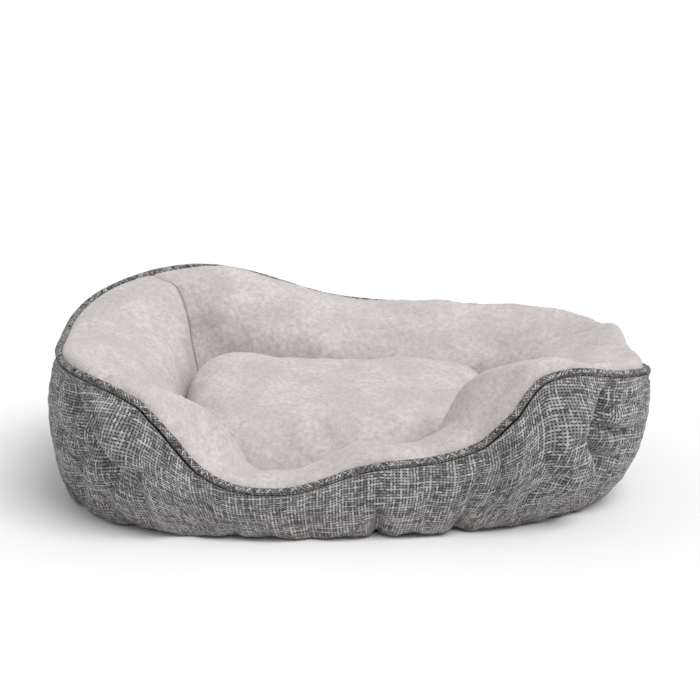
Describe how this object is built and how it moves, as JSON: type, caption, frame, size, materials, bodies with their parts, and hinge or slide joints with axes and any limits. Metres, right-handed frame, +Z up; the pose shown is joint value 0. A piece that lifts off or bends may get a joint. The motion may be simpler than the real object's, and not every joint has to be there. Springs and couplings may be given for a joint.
{
  "type": "pet cushion bed",
  "caption": "Small oval-cornered pet bed: thick stuffed wall with a low front, woven grey outside, plush lining, piped rim and a loose plush cushion.",
  "frame": {"origin": "on the floor, under the middle of the bed", "axes": "+Z up, the low front towards -Y, the longer side along X"},
  "size_m": [0.6175, 0.4578, 0.1997],
  "materials": {
    "woven_outer": "matte crosshatch weave, dark grey ground with pale slub threads",
    "piping_weave": "matte, the outer weave cut on the bias",
    "plush": "soft short-pile plush, warm light grey",
    "lining": "matte plain lining cloth",
    "fibre_fill": "loose white polyester fibre",
    "base_cloth": "matte dark non-skid cloth with small grip dots",
    "piping_cord": "soft twisted filler cord"
  },
  "bodies": {
    "bed": {"base_cloth": "base_cloth", "base_wadding": "fibre_fill", "floor_lining": "lining", "liner_right": "plush", "liner_back": "plush", "liner_left": "plush", "liner_front": "plush", "fill_right": "fibre_fill", "fill_back": "fibre_fill", "fill_left": "fibre_fill", "fill_front": "fibre_fill", "baffle_front_right": "lining", "baffle_back_right": "lining", "baffle_back_left": "lining", "baffle_front_left": "lining", "outer_wrap": "woven_outer", "outer_back": "woven_outer", "piping_cover": "piping_weave", "piping_cord": "piping_cord"},
    "cushion": {"cushion_top": "plush", "cushion_bottom": "lining", "cushion_fill": "fibre_fill"}
  },
  "joints": [
    {"name": "cushion_lift", "type": "slide", "parent": "bed", "child": "cushion", "axis": [0, 0, 1], "range_m": [0, 0.2]}
  ]
}
